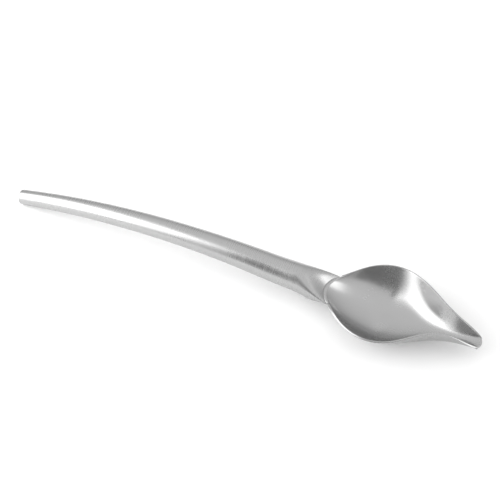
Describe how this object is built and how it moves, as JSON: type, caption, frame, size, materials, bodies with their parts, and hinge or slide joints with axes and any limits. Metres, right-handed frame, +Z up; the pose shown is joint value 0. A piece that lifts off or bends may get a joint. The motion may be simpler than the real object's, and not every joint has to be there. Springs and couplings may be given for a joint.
{
  "type": "spouted decorating spoon",
  "caption": "Stainless spoon with a wide flat-floored bowl that narrows to a pouring spout, on a hollow, tapered, gently arched handle.",
  "frame": {"origin": "middle of the flat on which the bowl rests, at table height", "axes": "+X from the handle to the tip of the spout, +Y to the left, +Z up out of the bowl"},
  "size_m": [0.2137, 0.0424, 0.0185],
  "materials": {
    "satin_steel": "satin, fine grain round the bowl",
    "brushed_steel": "brushed across the handle",
    "weld_steel": "dressed weld"
  },
  "bodies": {
    "root": {"bowl": "satin_steel", "handle_tube": "brushed_steel", "handle_seam_weld": "weld_steel", "neck_weld": "weld_steel", "tail_cap": "brushed_steel"}
  },
  "joints": []
}
